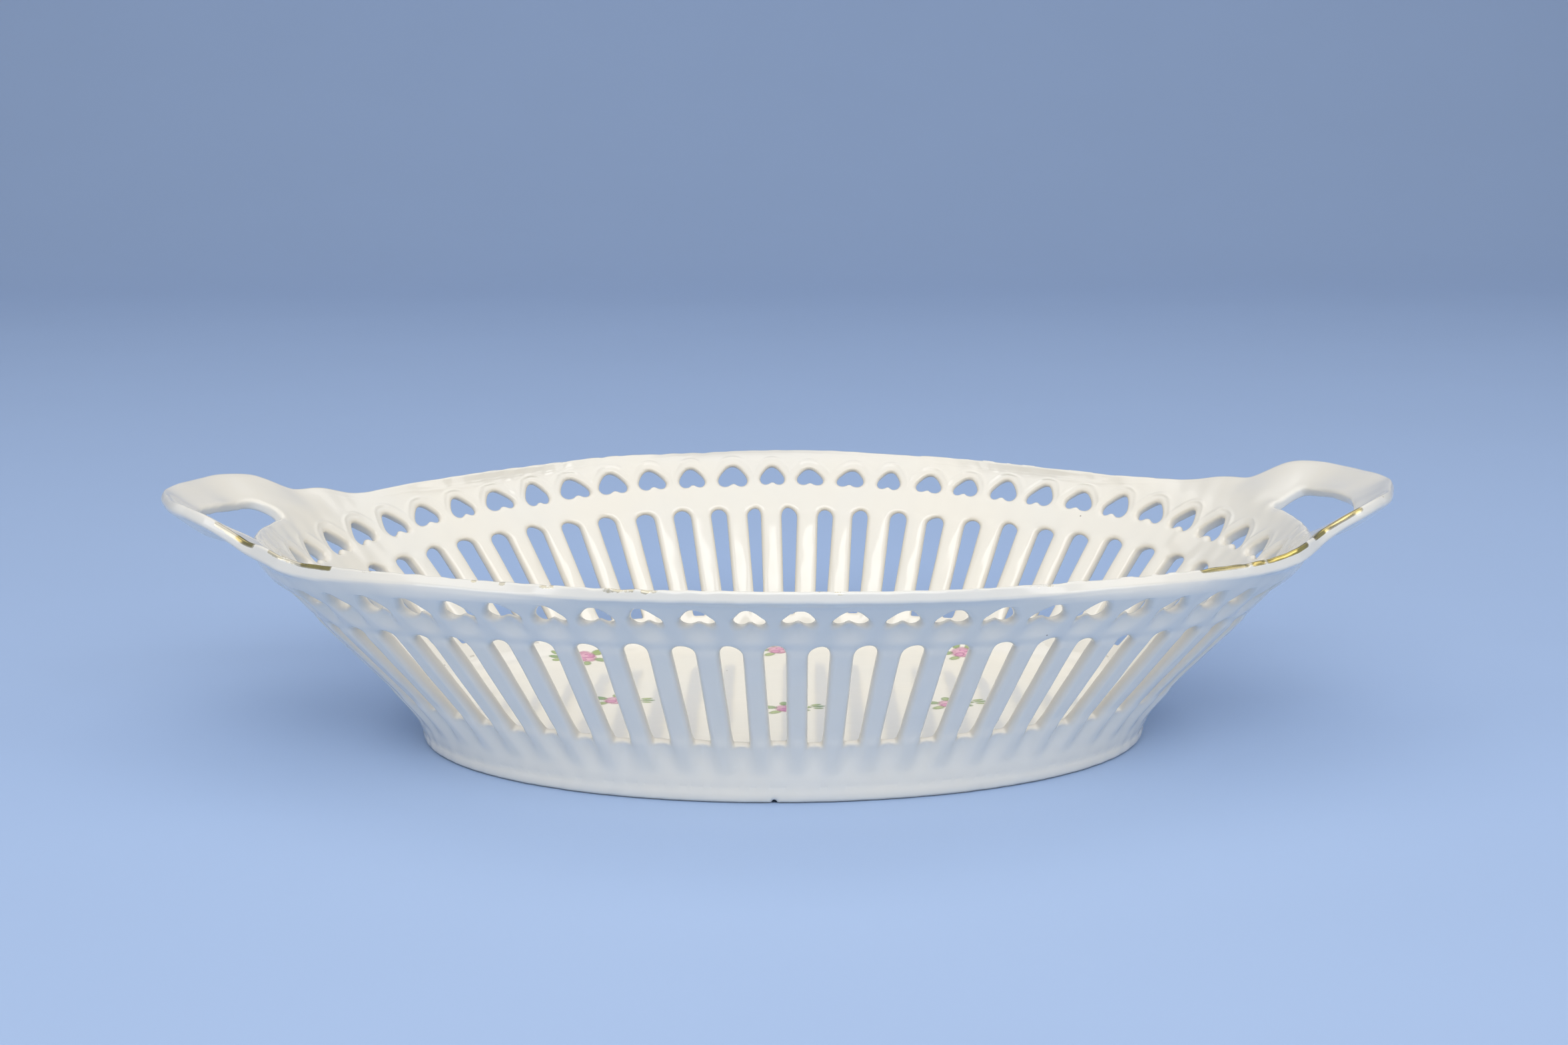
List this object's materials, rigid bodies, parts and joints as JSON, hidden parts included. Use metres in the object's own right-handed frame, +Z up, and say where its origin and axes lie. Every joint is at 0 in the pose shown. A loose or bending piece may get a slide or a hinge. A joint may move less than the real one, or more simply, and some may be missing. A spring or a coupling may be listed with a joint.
{
  "type": "porcelain fruit bowl",
  "caption": "Oval pierced porcelain fruit bowl: flared wall of slots between flat staves, heart-shaped openings under a plain rim, a foot ring and an open strap handle at each end.",
  "frame": {"origin": "middle of the foot's oval, on the surface that the bowl stands on", "axes": "+X along the bowl towards one handle, +Y across it, +Z up"},
  "size_m": [0.3144, 0.1872, 0.0654],
  "materials": {
    "porcelain": "clear warm white glaze, gloss",
    "foot_porcelain": "thin glaze wiped off underneath",
    "rim_porcelain": "gloss glaze with traces of worn gilding"
  },
  "bodies": {
    "root": {"foot_ring": "foot_porcelain", "floor_plate": "porcelain", "lower_band": "porcelain", "slotted_wall": "porcelain", "middle_band": "porcelain", "heart_gallery": "porcelain", "rim_back": "rim_porcelain", "rim_front": "rim_porcelain", "handle_right": "rim_porcelain", "handle_left": "rim_porcelain"}
  },
  "joints": []
}
